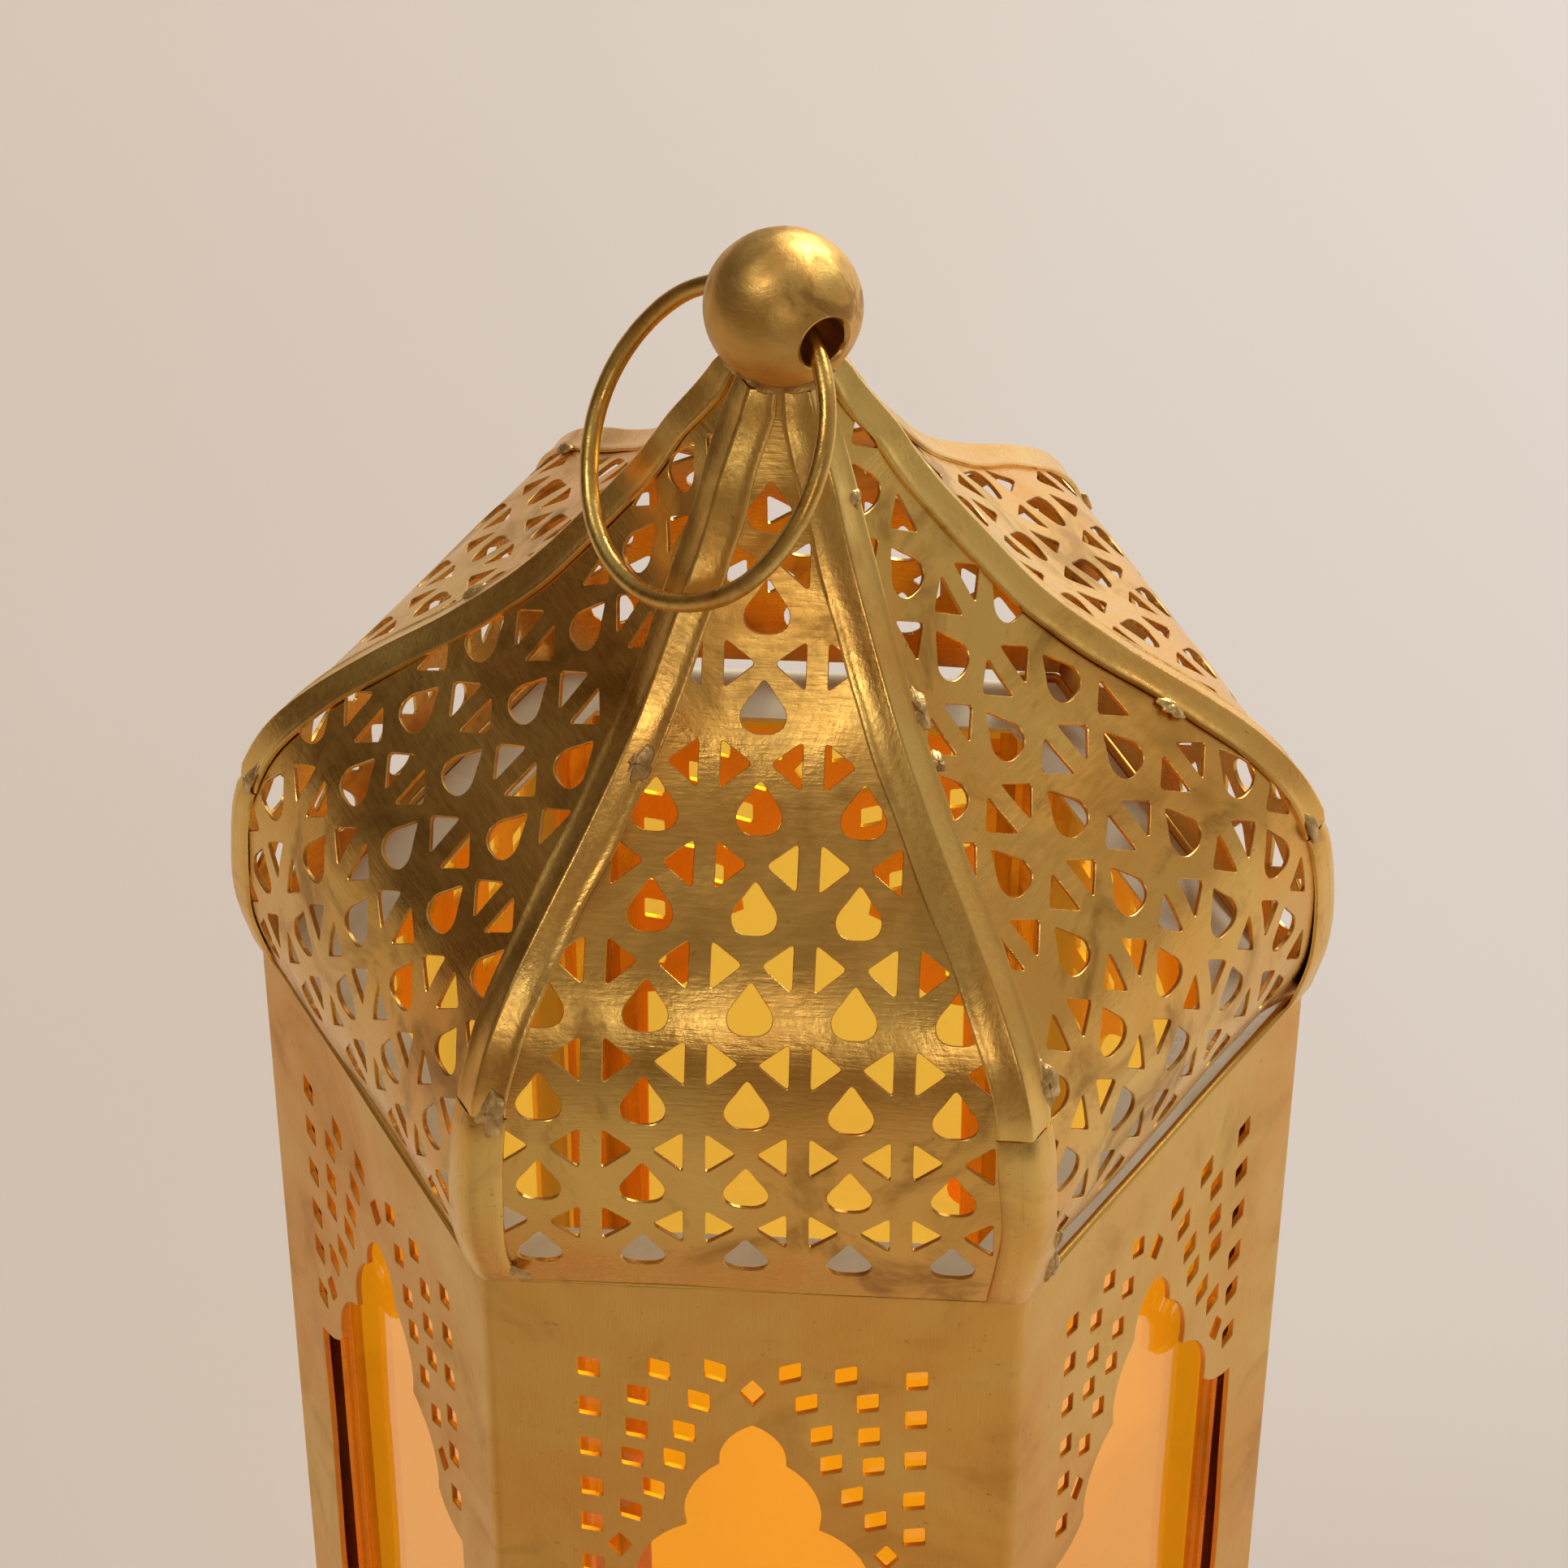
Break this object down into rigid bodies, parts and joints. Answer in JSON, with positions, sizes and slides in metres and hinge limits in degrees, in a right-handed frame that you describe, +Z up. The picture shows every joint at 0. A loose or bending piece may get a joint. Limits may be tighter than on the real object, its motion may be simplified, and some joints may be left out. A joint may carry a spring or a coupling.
{
  "type": "candle lantern",
  "caption": "Six-sided candle lantern in punched sheet brass with amber panes, an ogee roof, a ball finial with a hanging ring, and a hinged door with a latch.",
  "frame": {"origin": "centre of the base's underside", "axes": "+Z up through the ball finial; -Y out of the front face; +X to the right of someone who looks at the front; the door is on the +Y side"},
  "size_m": [0.1372, 0.1194, 0.321],
  "materials": {
    "roof_brass": "hand-polished, mottled and toned by heat",
    "body_brass": "satin",
    "strip_brass": "polished",
    "ball_brass": "polished",
    "ring_brass": "polished",
    "solder": "soft solder, dull",
    "tinplate": "bright",
    "amber_glass": "flat, glossy",
    "wax": "smooth wax",
    "wick_cotton": "matt"
  },
  "bodies": {
    "case": {"base_plate": "body_brass", "base_skirt": "body_brass", "body_wall": "body_brass", "candle": "wax", "candle_cup": "body_brass", "corner_strip_1": "strip_brass", "corner_strip_2": "strip_brass", "corner_strip_3": "strip_brass", "corner_strip_4": "strip_brass", "corner_strip_5": "strip_brass", "corner_strip_6": "strip_brass", "finial_ball": "ball_brass", "finial_neck": "solder", "hinge_lower_body_leaf": "strip_brass", "hinge_lower_pin": "strip_brass", "hinge_upper_body_leaf": "strip_brass", "hinge_upper_pin": "strip_brass", "latch_peg": "strip_brass", "pane_back_left": "amber_glass", "pane_back_right": "amber_glass", "pane_front": "amber_glass", "pane_front_left": "amber_glass", "pane_front_right": "amber_glass", "roof_corner_strip_1": "strip_brass", "roof_corner_strip_2": "strip_brass", "roof_corner_strip_3": "strip_brass", "roof_corner_strip_4": "strip_brass", "roof_corner_strip_5": "strip_brass", "roof_corner_strip_6": "strip_brass", "roof_panel_back": "roof_brass", "roof_panel_back_left": "roof_brass", "roof_panel_back_right": "roof_brass", "roof_panel_front": "roof_brass", "roof_panel_front_left": "roof_brass", "roof_panel_front_right": "roof_brass", "roof_rib_1": "strip_brass", "roof_rib_2": "strip_brass", "roof_rib_3": "strip_brass", "roof_rib_4": "strip_brass", "roof_rib_5": "strip_brass", "roof_rib_6": "strip_brass", "top_frame": "tinplate", "wick": "wick_cotton"},
    "ring": {"hanging_ring": "ring_brass"},
    "door": {"door_panel": "body_brass", "door_pane": "amber_glass", "door_clip_latch_side": "strip_brass", "door_clip_hinge_side": "strip_brass", "hinge_lower_door_leaf": "strip_brass", "hinge_upper_door_leaf": "strip_brass", "latch_rivet": "strip_brass"},
    "latch": {"latch_hook": "strip_brass"}
  },
  "joints": [
    {"name": "ring_swing", "type": "hinge", "parent": "case", "child": "ring", "pos_m": [0, 0, 0.3115], "axis": [-0.6003, 0.7967, -0.0698], "range_deg": [0, 282]},
    {"name": "door_hinge", "type": "hinge", "parent": "case", "child": "door", "pos_m": [-0.03107, 0.05382, 0.01792], "axis": [-0.0148, 0.0257, 0.9996], "range_deg": [0, 150]},
    {"name": "latch_turn", "type": "hinge", "parent": "door", "child": "latch", "pos_m": [0.02232, 0.0558, 0.11095], "axis": [0, -0.9997, 0.0257], "range_deg": [0, 80]}
  ]
}
